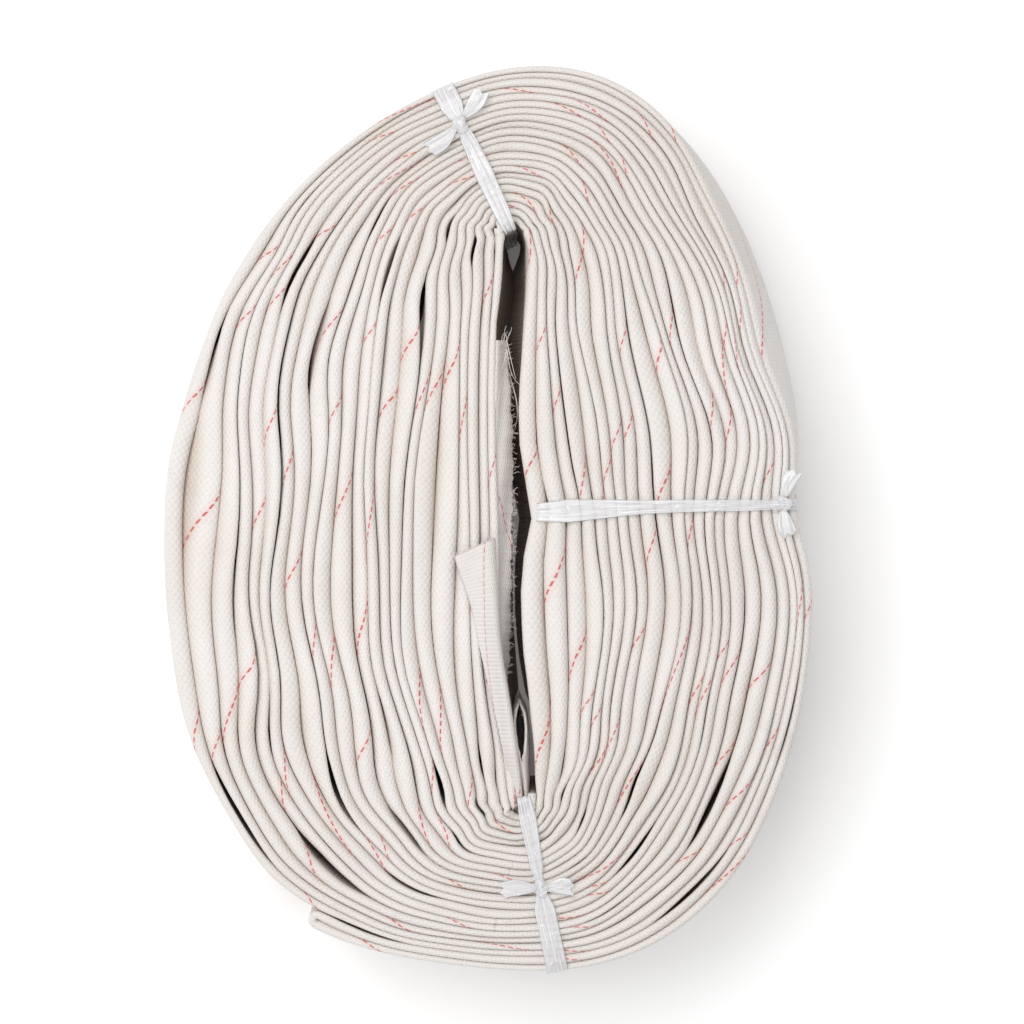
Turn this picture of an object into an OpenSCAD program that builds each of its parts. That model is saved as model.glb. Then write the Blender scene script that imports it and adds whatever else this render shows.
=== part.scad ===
// Rolled layflat fire hose: one long flat hose, laid double and wound round a narrow slot, tied with film in three places.
// Millimetres. The roll lies flat: the winding axis is +Z, the long side of the oval runs along Y.

/* [Hose] */
// width of the flattened hose, folded edge to folded edge, which is the height of the roll
flat_w = 106; // [60:1:150]
// thickness of the flattened hose where the turns are pulled tight
flat_t = 2.8; // [2.5:0.1:4]
// share of the free space between turns that the hose fills on the slack sides
swell = 0.35; // [0:0.01:0.6]
// thickness of the woven jacket
jacket_t = 0.9; // [0.5:0.05:1.2]
// thickness of the lining inside the jacket
lining_t = 0.4; // [0.2:0.05:0.8]

/* [Roll] */
// half the length of the slot in the middle of the roll
slot_half = 134.5; // [80:0.1:200]
// distance from the slot's middle line to the first turn
slot_side = 2.5; // [2:0.1:10]
// how far one lap lies outside the one before it, at the tight ends
end_pitch = 3.2; // [3:0.05:5]
// what each lap adds to that on the slack sides
side_pitch = 3.57; // [0:0.01:5]
// number of whole turns that the doubled hose makes
turns = 11; // [4:1:14]
// how far the outer laps shift to the left of the slot
drift = 16.5; // [0:0.5:30]
// how far the three shoulders of the oval stand out past an ellipse
fullness = 6.5; // [0:0.5:15]

/* [Ties] */
// width of the film ribbon
film_w = 8; // [4:0.5:15]
// width of the film where it is gathered in the slot
film_neck = 4.4; // [2:0.2:8]
// thickness of the film where it is drawn into a band
film_t = 0.4; // [0.2:0.05:1]
// how far the side tie pulls the turns in
pinch = 7; // [0:0.5:12]

/* [Hose ends] */
// how far the end that is turned out of the slot lies over the turns beside it
lapel_w = 22; // [10:1:30]

/* [Hidden] */
facets = 36;          // points in one turn of the hose
slot_x = 12;          // the slot's middle
slot_y = 1;
slot_lean = 0.0175;   // the slot leans by about one degree
last_lap = 2 * turns + 1.2;
shoulder_x = 12.3;    // uneven part of the oval's shoulders
shoulder_y = -9.2;
shoulder_twist = 5.8;
pinch_y = 5;
pinch_reach = 26;
bight_turn = 40;      // where the doubled hose turns back at the rim, past the last whole turn
clear = 0.3;          // between the film and its groove
groove = 0.6;         // how deep the ties press into the turns from below
bight_r = 2.3;        // tightest radius of the bight
mouth_from = -70;     // where the second strand starts, before the slot's lower end
mouth_tip = -82;      // where its open end is, as an angle before the slot's lower end
mouth_gap = 0.25;     // the joint between the two
knit = 9;             // draws the facets together where the turns bend most
$fn = 24;

function square_of(v) = v * v;
function side_of(u) = max(0.4, 1 + side_pitch * u);

// The direction that the hose faces at an angle round the roll: the laps are ellipses grown by an even margin.
function facing(tau, u) =
    let (r = sqrt(side_of(u) / slot_half), n = [cos(tau), r * sin(tau)]) n / norm(n);

function shoulder(c, s) =
    2 * c * s * (shoulder_x * s + shoulder_y * c + shoulder_twist) + 4 * c * c * s * s * fullness;

function oval_point(tau, u) =
    let (r = sqrt(side_of(u) / slot_half),
         n = facing(tau, u),
         grown = square_of(u / last_lap),
         margin = slot_side + end_pitch * u + shoulder(n.x, n.y) * grown)
    [side_of(u) * r * cos(tau), slot_half * sin(tau)] / norm([r * cos(tau), sin(tau)])
    + margin * n - [drift * pow(max(0, u / last_lap), 1.5), 0];

// A point on the middle line of the hose: u counts laps from the slot, tau is the angle round it.
function lap_point(tau, u) =
    let (p = oval_point(tau, u),
         squeeze = pinch * max(0, p.x / 140) * exp(-square_of((p.y - pinch_y) / pinch_reach)))
    [p.x - squeeze + slot_x - slot_lean * p.y * (1 - u / last_lap), p.y + slot_y];

// The hose is thicker where it lies slack.
function lap_thickness(tau, u) =
    let (n = facing(tau, u), a = side_of(u))
    flat_t + swell * side_pitch * a * n.x * n.x / norm([a * n.x, slot_half * n.y]);

// One strand, as [x, y, thickness] at each facet. It starts at the slot's lower end and runs clockwise.
function strand(first_lap, from, to) =
    let (steps = max(3, round((to - from) / 360 * facets)))
    [for (k = [0 : steps])
        let (psi = from + (to - from) * k / steps,
             turned = psi - knit * sin(2 * psi),
             tau = -90 - turned,
             u = first_lap + turned / 180,
             p = lap_point(tau, u))
        [p.x, p.y, lap_thickness(tau, u)]];

// The bight: a small round loop that joins the outer ends of the two strands, just past the end of the longer one.
function bight(a, b, before) =
    let (d = a - before, ahead = [d.x, d.y] / norm([d.x, d.y]), across = [ahead.y, -ahead.x],
         gap = [b.x - a.x, b.y - a.y], side = across * sign(gap * across),
         r = max(bight_r, abs(gap * across) / 2),
         centre = [a.x, a.y] + side * r + ahead * (max(0, gap * ahead) + 1))
    [for (t = [-75 : 30 : 75])
        let (p = centre + side * r * sin(t) + ahead * r * cos(t)) [p.x, p.y, flat_t]];

function reversed(list) = [for (k = [len(list) - 1 : -1 : 0]) list[k]];

last_angle = 360 * turns + bight_turn;
strand_a = strand(0, 0, last_angle);
strand_b = strand(1, mouth_from, last_angle);
end_a = len(strand_a) - 1;
whole_route = concat(strand_a, bight(strand_a[end_a], strand_b[len(strand_b) - 1], strand_a[end_a - 1]),
                     reversed(strand_b));
mouth_root = mouth_from - knit * sin(2 * mouth_from) - mouth_gap;
mouth_steps = 3;
mouth_route = [for (k = [0 : mouth_steps]) mouth_point(mouth_root + (mouth_tip - mouth_root) * k / mouth_steps)];

// The route is stored as three stretches: where the strands pass from the inner to the middle to the outer laps.
route_end = len(whole_route) - 1;
inner_share = 0.36;
outer_share = 0.7;
inner_cut = round(end_a * inner_share);
outer_cut = round(end_a * outer_share);

function mouth_point(psi) =
    let (p = lap_point(-90 - psi, 1 + psi / 180)) [p.x, p.y, lap_thickness(-90 - psi, 1 + psi / 180)];

// The middle line's point k, moved sideways by part of the thickness less an inset.
function beside(route, k, side, inset) =
    let (n = len(route), before = route[max(0, k - 1)], after = route[min(n - 1, k + 1)],
         d = [after.x - before.x, after.y - before.y] / norm([after.x - before.x, after.y - before.y]),
         h = side * (route[k].z / 2 - inset))
    [route[k].x - d.y * h, route[k].y + d.x * h];

// The same at a cut through a free end, run on a little past it.
function past_end(route, k, other, side, inset) =
    let (p = beside(route, k, side, inset), d = route[k] - route[other])
    p + [d.x, d.y] / norm([d.x, d.y]);

// One side of a stretch. An open side runs on into the next stretch, or out past the hose's own end.
function edge_of(route, first, last, side, inset, open) =
    let (n = len(route) - 1)
    concat(open ? [first > 0 ? beside(route, first - 1, side, inset) : past_end(route, 0, 1, side, inset)] : [],
           [for (k = [first : last]) beside(route, k, side, inset)],
           open ? [last < n ? beside(route, last + 1, side, inset) : past_end(route, n, n - 1, side, inset)] : []);

module flat_strip(route, first, last, inset, open) {
    translate([0, 0, inset]) linear_extrude(flat_w - 2 * inset)
        polygon(concat(edge_of(route, first, last, 1, inset, open),
                       reversed(edge_of(route, first, last, -1, inset, open))));
}

// A flat tube along part of a route: its wall lies between two insets from the hose's outside.
module flat_tube(route, first, last, outer, inner) {
    difference() {
        flat_strip(route, first, last, outer, false);
        flat_strip(route, first, last, inner, true);
    }
}

// Each tie runs from a point in the slot to a point just outside the rim.
top_from = [9.6, 135.4];
top_to = [-23.4, 203.4];
side_from = [21.5, 4];
side_to = [149, 8];
low_from = [15.1, -129.8];
low_to = [32.4, -213.2];

// Places children at a tie's slot end, with +X running out along the tie.
module along(from, to) {
    d = to - from;
    translate([from.x, from.y, 0]) rotate([0, 0, atan2(d.y, d.x)]) children();
}

// A flat closed loop of film round the turns, from the slot to the rim. In the slot the film is gathered.
module band(from, to) {
    reach = norm(to - from);
    along(from, to) difference() {
        translate([0, -film_w / 2, 0.1]) cube([reach, film_w, flat_w + film_t]);
        translate([film_t, -film_w, 0.1 + film_t]) cube([reach - 2 * film_t, 2 * film_w, flat_w - film_t]);
        for (side = [-1, 1])
            translate([-1, side * (film_w + film_neck) / 2 - film_w / 2, 0.1 + film_t])
                cube([film_t + 2, film_w, flat_w - film_t]);
    }
}

module band_groove(from, to) {
    reach = norm(to - from);
    along(from, to) translate([-2, -film_w / 2 - clear, -1]) cube([reach + 20, film_w + 2 * clear, groove + 1]);
}

film_top = flat_w + film_t + 0.1;

// Each knot's place, as a share of its tie's reach, and the size of the drawn-together film.
top_knot_at = 0.72;
side_knot_at = 0.9;
low_knot_at = 0.5;
knot_wide = 5.5;
knot_high = 3;

// A knot drawn tight in the film.
module knot(from, to, share, long) {
    along(from, to) translate([norm(to - from) * share, 0, film_top + knot_high / 2 + 0.1])
        scale([long, knot_wide, knot_high]) sphere(d = 1);
}

// A loose tail of film that leaves a knot.
module tail(from, to, share, start, turn, long, wide) {
    along(from, to) translate([norm(to - from) * share, 0, film_top + 0.6])
        rotate([0, 0, turn]) translate([start, -wide / 2, 0]) cube([long, wide, film_t]);
}

// Children with the grooves that the ties press into them.
module pressed() {
    difference() {
        children();
        band_groove(top_from, top_to);
        band_groove(side_from, side_to);
        band_groove(low_from, low_to);
    }
}

// Each strand has its own solid between two places on the way out.
module inner_jacket() { color("#efeae2") pressed() jacket_laps(0, inner_cut); }
module middle_jacket() { color("#efeae2") pressed() jacket_laps(inner_cut, outer_cut); }
module outer_jacket() {
    color("#efeae2") pressed() flat_tube(whole_route, outer_cut, route_end - outer_cut, 0, jacket_t);
}

module jacket_laps(from, to) {
    flat_tube(whole_route, from, to, 0, jacket_t);
    flat_tube(whole_route, route_end - to, route_end - from, 0, jacket_t);
}

// In the roll the lining lies pressed flat, wall on wall, and is one strip inside the jacket.
module inner_lining() { color("#d9cfbf") lining_laps(0, inner_cut); }
module middle_lining() { color("#d9cfbf") lining_laps(inner_cut, outer_cut); }
module outer_lining() {
    color("#d9cfbf") flat_strip(whole_route, outer_cut, route_end - outer_cut, jacket_t, false);
}

module lining_laps(from, to) {
    flat_strip(whole_route, from, to, jacket_t, false);
    flat_strip(whole_route, route_end - to, route_end - from, jacket_t, false);
}

module mouth_jacket() { color("#efeae2") flat_tube(mouth_route, 0, mouth_steps, 0, jacket_t); }
module mouth_lining() { color("#d9cfbf") flat_tube(mouth_route, 0, mouth_steps, jacket_t, jacket_t + lining_t); }

// The hose's other end: it stands in the slot and its upper part is turned out over the turns beside it.
foot = [15, -124];
tip = [9.9, -10];
lapel_z = flat_w + film_t;
end_low = 10;         // how high above the floor this end hangs
frayed_x = 8.2;       // left face of the frayed edge
frayed_low = 42;      // how high above the floor it hangs
frayed_long = 91;
frayed_over = [0.8, 60];  // width, as a share of the flap's, and length of its turned-out part

module inner_end() {
    color("#efeae2") union() {
        hull() {
            translate([foot.x - flat_t / 2, foot.y, end_low]) cube([flat_t, 1, lapel_z - end_low + flat_t]);
            translate([tip.x - flat_t / 2, tip.y, end_low]) cube([flat_t, 1, lapel_z - end_low + flat_t]);
        }
        hull() {
            translate([foot.x - flat_t / 2, foot.y, lapel_z]) cube([flat_t, 1, flat_t]);
            translate([tip.x + flat_t / 2 - lapel_w, tip.y, lapel_z]) cube([lapel_w, 1, flat_t]);
        }
    }
}

// The cut edge of that end, folded round and hung down the slot's left wall.
module frayed_end() {
    color("#e6dfd3") union() {
        translate([frayed_x, tip.y + 1, frayed_low]) cube([flat_t, frayed_long, lapel_z - frayed_low + flat_t]);
        translate([frayed_x + flat_t - lapel_w * frayed_over.x, tip.y + 1, lapel_z])
            cube([lapel_w * frayed_over.x, frayed_over.y, flat_t]);
    }
}

module top_tie() { color("#eef0f4") band(top_from, top_to); }
module side_tie() { color("#eef0f4") band(side_from, side_to); }
module low_tie() { color("#eef0f4") band(low_from, low_to); }

module top_knot() { color("#f6f7fa") knot(top_from, top_to, top_knot_at, 9); }
module side_knot() { color("#f6f7fa") knot(side_from, side_to, side_knot_at, 12); }
module low_knot() { color("#f6f7fa") knot(low_from, low_to, low_knot_at, 8); }

module top_tail_short() { color("#f6f7fa") tail(top_from, top_to, top_knot_at, 5.4, -55, 9, 5); }
module top_tail_long() { color("#f6f7fa") tail(top_from, top_to, top_knot_at, 3.2, 100, 13, 6); }
module side_tail_short() { color("#f6f7fa") tail(side_from, side_to, side_knot_at, 5.4, 60, 9, 5); }
module side_tail_long() { color("#f6f7fa") tail(side_from, side_to, side_knot_at, 3.5, -70, 11, 5); }
module low_tail_short() { color("#f6f7fa") tail(low_from, low_to, low_knot_at, 3, 75, 8, 5); }
module low_tail_long() { color("#f6f7fa") tail(low_from, low_to, low_knot_at, 3, -95, 13, 6); }

inner_jacket();
middle_jacket();
outer_jacket();
inner_lining();
middle_lining();
outer_lining();
mouth_jacket();
mouth_lining();
inner_end();
frayed_end();
top_tie();
side_tie();
low_tie();
top_knot();
side_knot();
low_knot();
top_tail_short();
top_tail_long();
side_tail_short();
side_tail_long();
low_tail_short();
low_tail_long();
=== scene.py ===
# %% [markdown]
# # A rolled fire hose
#
# One long layflat hose, folded double and wound round a narrow slot, lies on its edge folds. Three ribbons
# of clear film hold it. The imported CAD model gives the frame; this script makes the surfaces that are seen.

# %% Load the frame
import math

import bpy
import numpy as np
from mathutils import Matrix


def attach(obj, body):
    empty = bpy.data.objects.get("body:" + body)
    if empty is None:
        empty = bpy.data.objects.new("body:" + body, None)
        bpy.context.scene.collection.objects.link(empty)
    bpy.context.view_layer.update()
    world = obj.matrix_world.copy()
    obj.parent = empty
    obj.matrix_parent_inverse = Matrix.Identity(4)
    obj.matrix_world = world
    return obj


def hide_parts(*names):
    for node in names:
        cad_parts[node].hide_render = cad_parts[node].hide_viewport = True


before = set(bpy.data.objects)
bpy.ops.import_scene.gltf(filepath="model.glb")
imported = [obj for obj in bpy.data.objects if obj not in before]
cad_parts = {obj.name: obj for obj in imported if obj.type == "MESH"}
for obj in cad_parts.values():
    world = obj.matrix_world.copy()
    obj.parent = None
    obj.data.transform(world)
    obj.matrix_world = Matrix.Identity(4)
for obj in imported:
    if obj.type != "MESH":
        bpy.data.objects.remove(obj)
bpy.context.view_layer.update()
MM = 0.001

# %% [markdown]
# ## The hose's own numbers
# A hose of this bore is about 106 mm wide when flat. The same few numbers that wind the CAD model wind the
# surface here, so both follow one route. Lengths in the plan are millimetres until a mesh is made.

# %% The roll's numbers
FLAT_W = 106.0
SLOT_HALF, SLOT_SIDE = 134.5, 2.5
END_PITCH, SIDE_PITCH = 3.2, 3.57
TURNS, LAST_LAP = 11, 23.2
DRIFT, FULLNESS = 16.5, 6.5
SHOULDER = np.array([12.3, -9.2, 5.8])
SLOT_X, SLOT_Y, SLOT_LEAN = 12.0, 1.0, 0.0175
PINCH, PINCH_X, PINCH_Y, PINCH_REACH = 7.0, 140, 5.0, 26.0
LEAST_SIDE = 0.4
MOUTH_START, LAST_ANGLE = -64.2, 360 * TURNS + 40
RINGS_A_TURN = 300


def bell(x, centre, reach):
    """A smooth bump of height 1: e to the minus square of the distance from centre over reach."""
    return np.exp(-((x - centre) / reach) ** 2)


def plan(tau, lap):
    """Points and outward directions of the laps in plan: an ellipse that grows with the lap count, plus an
    even margin along its normal, shifted sideways and pinched by the side tie. tau is the angle round, in
    degrees."""
    tau = np.radians(tau)
    side = np.maximum(LEAST_SIDE, 1 + SIDE_PITCH * lap)
    r = np.sqrt(side / SLOT_HALF)
    c, s = np.cos(tau), r * np.sin(tau)
    c, s = c / np.hypot(c, s), s / np.hypot(c, s)
    on = np.hypot(r * np.cos(tau), np.sin(tau))
    grown = np.maximum(0, lap / LAST_LAP)
    shoulder = 2 * c * s * (SHOULDER[0] * s + SHOULDER[1] * c + SHOULDER[2])
    shoulder = shoulder + 4 * (c * s) ** 2 * FULLNESS
    margin = SLOT_SIDE + END_PITCH * lap + shoulder * grown ** 2
    x = side * r * np.cos(tau) / on + margin * c - DRIFT * grown ** 1.5
    y = SLOT_HALF * np.sin(tau) / on + margin * s
    x = x - PINCH * np.maximum(0, x / PINCH_X) * bell(y, PINCH_Y, PINCH_REACH)
    x = x + SLOT_X - SLOT_LEAN * y * (1 - grown)
    slack = side * c ** 2 / np.hypot(side * c, SLOT_HALF * s)
    return np.stack([x, y + SLOT_Y], -1), slack


# %% [markdown]
# ## How hand-laid laps differ from even ones
# At the two ties on the long axis the laps are pulled tight. Between them they bunch, part and lean, most
# of all near the top, where nothing holds the folds. The room from each lap to the next is a field over the
# angle round and the lap count, never less than the hose's own thickness. Adding up that room gives each
# lap's real place, so no lap can pass through the next. One field holds for the upper folds, one for just
# below them and one for the lower folds. A place that is wide in the upper field and one lap earlier below
# it is a lap leaning in, which shows its wide face.

# %% Slack fields
TAU_STEP, LAP_STEP, FIRST_LAP, LAST_ROW = 3.0, 0.05, -1.0, 26.0
LEAST_ROOM = 0.40
ROOM_UPPER = [(0.31, -1, 0.9, 0.50), (0.5, 2, 3.3, 0.38), (0.83, 6, 5.0, 0.34), (0.45, -5, 2.7, 0.42),
              (0.13, 3, 0.4, 0.38), (0.67, -9, 1.9, 0.42), (0.93, 4, 4.1, 0.38), (0.37, 13, 0.7, 0.32)]
ROOM_BELOW = [(0.23, 1, 0.4, 0.25), (0.37, -2, 2.1, 0.20), (0.61, 3, 1.3, 0.12)]
ROOM_LOWER = [(0.29, 2, 1.7, 0.30), (0.17, -1, 5.2, 0.3)]
FACE_LAPS = 0.30
# Places where one lap shows its face: angle round, lap count, laps wide, and degrees that it reaches.
FACES = [(183, 20.5, 2.4, 20), (14, 11.0, 2.3, 13), (-16, 2.0, 2.0, 16), (24, 15.0, 1.8, 11),
         (146, 14.0, 1.6, 12), (205, 15.0, 1.3, 14), (165, 8.0, 1.4, 12), (-30, 12.0, 1.2, 12),
         (214, 10.0, 1.4, 11), (-20, 18.0, 1.3, 13), (172, 17.0, 1.1, 10), (128, 17.0, 1.2, 9),
         (232, 18.0, 1.5, 9), (8, 5.0, 1.2, 9), (188, 4.0, 1.1, 10), (52, 19.0, 1.3, 9), (60, 9.0, 0.9, 8)]


def waves(tau, lap, table):
    """Sum of sine waves over lap count and angle. Each row is: waves a lap, waves a turn, phase, height."""
    total = 0
    for per_lap, per_turn, phase, height in table:
        total = total + height * np.sin(2 * np.pi * per_lap * lap + per_turn * np.radians(tau) + phase)
    return total


def turned_from(tau, centre):
    """The angle from centre to tau in degrees, from -180 to 180."""
    return (tau - centre + 180) % 360 - 180


def room_table(table, late, share):
    """Lap counts as the laps really lie, on a grid [angle, lap]: the running total of the room field, scaled
    so that the rim stays where it is."""
    angles, laps = np.arange(0, 361, TAU_STEP), np.arange(FIRST_LAP, LAST_ROW, LAP_STEP)
    tau, lap = np.meshgrid(angles, laps, indexing="ij")
    room = LEAST_ROOM + (1 - LEAST_ROOM) * np.exp(waves(tau, lap, table))
    area = FACE_LAPS * math.sqrt(math.pi)
    for centre, at, wide, reach in FACES:
        turned = turned_from(tau, centre)
        past = lap - at - late + turned / 180
        room += share * wide * bell(past, 0, FACE_LAPS) / area * bell(turned, 0, reach)
    total = np.cumsum(room, axis=1) * LAP_STEP
    zero = int(round(-FIRST_LAP / LAP_STEP))
    rim = int(round((LAST_LAP - FIRST_LAP) / LAP_STEP))
    total -= total[:, zero:zero + 1]
    return total * LAST_LAP / total[:, rim:rim + 1]


def read_table(table, tau, lap):
    """Value of a field at any angle and lap count, between its grid points."""
    t = (tau % 360) / TAU_STEP
    n = np.clip((lap - FIRST_LAP) / LAP_STEP, 0, table.shape[1] - 1.001)
    i, j = t.astype(int), n.astype(int)
    t, n = t - i, n - j
    return ((table[i, j] * (1 - n) + table[i, j + 1] * n) * (1 - t)
            + (table[i + 1, j] * (1 - n) + table[i + 1, j + 1] * n) * t)


UPPER = room_table(ROOM_UPPER, 0.0, 1.0)
BELOW = room_table(ROOM_BELOW, -1.0, 1.0)
LOWER = room_table(ROOM_LOWER, -1.0, 0.5)
LEAN_DEPTH = 17.0
SLACK_SHAPE, LEAST_SLACK = 0.8, 0.42
# The rim is steadier than the laps inside it. It leans in at the top by this many laps, and more in places.
RIM_SHARE, RIM_STEADY = 0.1, 0.6
RIM_LEAN, RIM_BULGES = 0.4, [(2.4, 36, 30), (0.6, 200, 40)]
# How the laps beside the slot crowd into it: height, place along the slot and reach of each push, in mm.
SLOT_LEFT, SLOT_MID, SLOT_RIGHT, CROWD_FADE = 4, 11, 20, 30
CROWD_RIGHT, CROWD_EVENLY = [(-7.5, 46, 44), (4.5, 6, 15), (-8.5, -48, 42)], 2.5
CROWD_LEFT = [(-5.5, 40, 90), (-4.0, -58, 42)]
CROWD_END, CROWD_EASE = 130, 40
CLOSE_BY, CLOSE_BELOW = 9.0, 70
CLOSE_TOP, CLOSE_TOP_EASE, CLOSE_FOOT, CLOSE_FOOT_EASE = 136, 20, -100, 18


def lap_field(tau, lap, height):
    """The lap count that a lap really lies at, at a height in mm above the lower folds."""
    slack = np.maximum(np.clip(plan(tau, lap)[1], 0, 1) ** SLACK_SHAPE, LEAST_SLACK)
    top = np.clip(1 - (FLAT_W - height) / LEAN_DEPTH, 0, 1)
    top = top * top * (3 - 2 * top)
    up = np.clip(height / (FLAT_W - LEAN_DEPTH), 0, 1)
    below = read_table(BELOW, tau, lap) * up + read_table(LOWER, tau, lap) * (1 - up)
    laid = below + (read_table(UPPER, tau, lap) - below) * top
    keep = 1 - np.clip(lap / LAST_LAP - (1 - RIM_SHARE), 0, RIM_SHARE) / RIM_SHARE * RIM_STEADY
    rim = np.clip(lap / LAST_LAP, 0, 1) ** 5
    bulges = [high * bell(turned_from(tau, at), 0, reach) for high, at, reach in RIM_BULGES]
    dome = rim * sum(bulges, RIM_LEAN)
    return lap + (laid - lap) * slack * keep - dome * (height / FLAT_W) ** 2


def crowd(points, height):
    """The first laps beside the slot lean into it above and below the side tie, and bend back behind it.
    Their lower folds close up under the slot."""
    x, y = points[..., 0], points[..., 1]
    right = np.exp(-np.maximum(0, x - SLOT_RIGHT) / CROWD_FADE) * (x > SLOT_MID)
    push = sum(high * bell(y, at, reach) for high, at, reach in CROWD_RIGHT) - CROWD_EVENLY
    left = np.exp(-np.maximum(0, SLOT_LEFT - x) / CROWD_FADE) * (x < SLOT_MID)
    pull = sum(high * bell(y, at, reach) for high, at, reach in CROWD_LEFT)
    near = np.clip((CROWD_END - np.abs(y)) / CROWD_EASE, 0, 1)
    closing = CLOSE_BY * np.clip(1 - height / CLOSE_BELOW, 0, 1)
    closing = closing * np.clip((CLOSE_TOP - y) / CLOSE_TOP_EASE, 0, 1)
    closing = closing * np.clip((y - CLOSE_FOOT) / CLOSE_FOOT_EASE, 0, 1)
    return np.stack([x + (push * right + pull * left) * near - closing * right + closing * left, y], -1)


def place(tau, lap, height):
    """Where a lap lies in plan at that height."""
    return crowd(plan(tau, lap_field(tau, lap, height))[0], height)


# %% [markdown]
# ## One strand of hose
# A flattened hose is a woven tube whose two walls lie together and whose two edges are round folds. In a
# slack roll the folds spring open until they touch their neighbours. So the section is a closed loop: up
# one side, over the upper fold, down the other side and under. The room on each side is measured to the
# laps on either side.

# %% Section and strand
LEVELS = np.array([0, 0.08, 0.4, 1.1, 2.3, 4.2, 9, 24, 53, 74, 86, 92, 96.5, 100.2, 103.0, 104.3, 105.1,
                   105.65, 105.92, 106.0])
SIDES = len(LEVELS) - 1
AROUND = 2 * SIDES
MID_HALF, LEAST_HALF = 1.5, 0.8
FOLD_MAX, LOWER_FOLD_MAX = 6.6, 2.6
CAP_SHAPE, CAP_MOST, FLATTENS_OVER = 1.2, 4.6, 38.0
# Half thickness towards the slot, and on an outer face that nothing presses on.
SLOT_WALL_HALF, BARE_HALF, BARE_EASE = 2.2, 2.4, 3
RING_PULL = 12
UNEVEN_BY, UNEVEN = 0.012, [(0.9, 23, 0.3, 1), (0.4, 41, 1.1, 0.6)]
PARTING = [(0.43, 7, 0.6, 0.8), (0.29, -5, 2.2, 0.7), (0.71, 3, 4.4, 0.5)]
PARTS_FROM, PARTS_OVER = 1.25, 0.6
LIFT_BY, LIFTS = 1.1, [(0.43, 2, 1.0, 1.0), (0.71, -1, 0.2, 0.7), (0.27, 5, 3.0, 0.35)]
RIM_DROP, LIFT_EVENLY = 5.0, 0.6


def fold_half(room, top):
    """Half thickness on one side at each level: a round fold at each edge as wide as the room allows, that
    flattens towards the middle of the hose."""
    most = np.where(LEVELS > FLAT_W / 2, FOLD_MAX, LOWER_FOLD_MAX)
    own = np.clip(np.where(LEVELS > FLAT_W / 2, top, room[:, 3:4]), LEAST_HALF, most)
    depth = np.minimum(LEVELS, FLAT_W - LEVELS)
    cap = np.minimum(own * CAP_SHAPE, CAP_MOST)
    inside = np.clip(depth / cap, 0, 1)
    round_part = own * np.sqrt(np.clip(1 - (1 - inside) ** 2, 0, 1))
    flat = np.minimum(MID_HALF, own)
    sides = flat + (own - flat) * np.exp(-np.maximum(0, depth - cap) / FLATTENS_OVER)
    return np.where(depth < cap, round_part, np.minimum(sides, np.maximum(room, LEAST_HALF)))


def strand(first_lap, start, bare_from):
    """A strand from the slot to the rim as a grid [ring, level] of plan points, with the two half thicknesses
    and the height. Rings are drawn together where the hose turns sharply. From the angle bare_from on, no
    other lap lies outside this one."""
    rings = int((LAST_ANGLE - start) / 360 * RINGS_A_TURN) + 1
    angle = np.linspace(start, LAST_ANGLE, rings)
    own_place = RING_PULL * np.sin(np.radians(2 * start)) * (angle == start)
    angle = angle - RING_PULL * np.sin(np.radians(2 * angle)) + own_place
    tau, lap = (-90 - angle)[:, None], (first_lap + angle / 180)[:, None]
    height = LEVELS[None, :]
    middle = place(tau, lap, height)
    outside = place(tau, lap + 1, height)
    inside = place(tau, np.maximum(lap - 1, -0.2), height)
    along = np.gradient(middle, axis=0)
    along /= np.linalg.norm(along, axis=-1, keepdims=True)
    normal = np.stack([-along[..., 1], along[..., 0]], -1)
    room_out = np.abs(np.sum((outside - middle) * normal, -1)) * 0.499
    room_in = np.abs(np.sum((middle - inside) * normal, -1)) * 0.499
    room_in = np.where(lap < 1.05, np.minimum(room_out, SLOT_WALL_HALF), room_in)
    covered = np.clip((bare_from - angle[:, None]) / BARE_EASE, 0, 1) + 0 * height
    room_out = np.where(covered < 1, np.minimum(room_out, BARE_HALF), room_out)
    uneven = 1 - UNEVEN_BY * np.abs(waves(tau, lap, UNEVEN))
    slack = np.clip(plan(tau, lap)[1], 0, 1)
    apart = []
    for side in (0.5, -0.5):
        gap = np.clip(waves(tau, lap + side, PARTING) - PARTS_FROM, 0, PARTS_OVER) / PARTS_OVER
        apart.append(1 - 0.5 * gap * (0.7 + 0.3 * slack))
    room_out = room_out * uneven * apart[0]
    room_in = room_in * uneven * apart[1]
    half_out = fold_half(room_out, room_out[:, -4:-3])
    half_in = fold_half(room_in, room_in[:, -4:-3])
    lift = LIFT_BY * waves(tau, lap, LIFTS)
    rim = np.clip(lap / LAST_LAP, 0, 1) ** 7
    ends = np.abs(np.sin(np.radians(tau))) ** 24
    sunk = 9 * np.exp(-lap / 0.9) + 1.5 * np.exp(-lap / 5)
    lift = lift - RIM_DROP * rim - sunk * ends - LIFT_EVENLY
    z = LEVELS[None, :] * (1 + lift / FLAT_W) + 0 * tau
    return {"middle": middle, "out": half_out, "in": half_in, "z": z, "angle": angle, "covered": covered}


strand_a = strand(0, 0.0, LAST_ANGLE - 2)
strand_b = strand(1, MOUTH_START, LAST_ANGLE - 358)
print("rings:", len(strand_a["angle"]), len(strand_b["angle"]))

# %% [markdown]
# ## The bight
# The hose was folded double before it was rolled, so its middle is at the rim, as a small round loop that
# joins the outer ends of the two strands.

# %% Join the strands at the rim
BIGHT_STEPS, BIGHT_TURN = 14, 80
BIGHT_RADIUS, BIGHT_HALF = 2.3, 2.1


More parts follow.
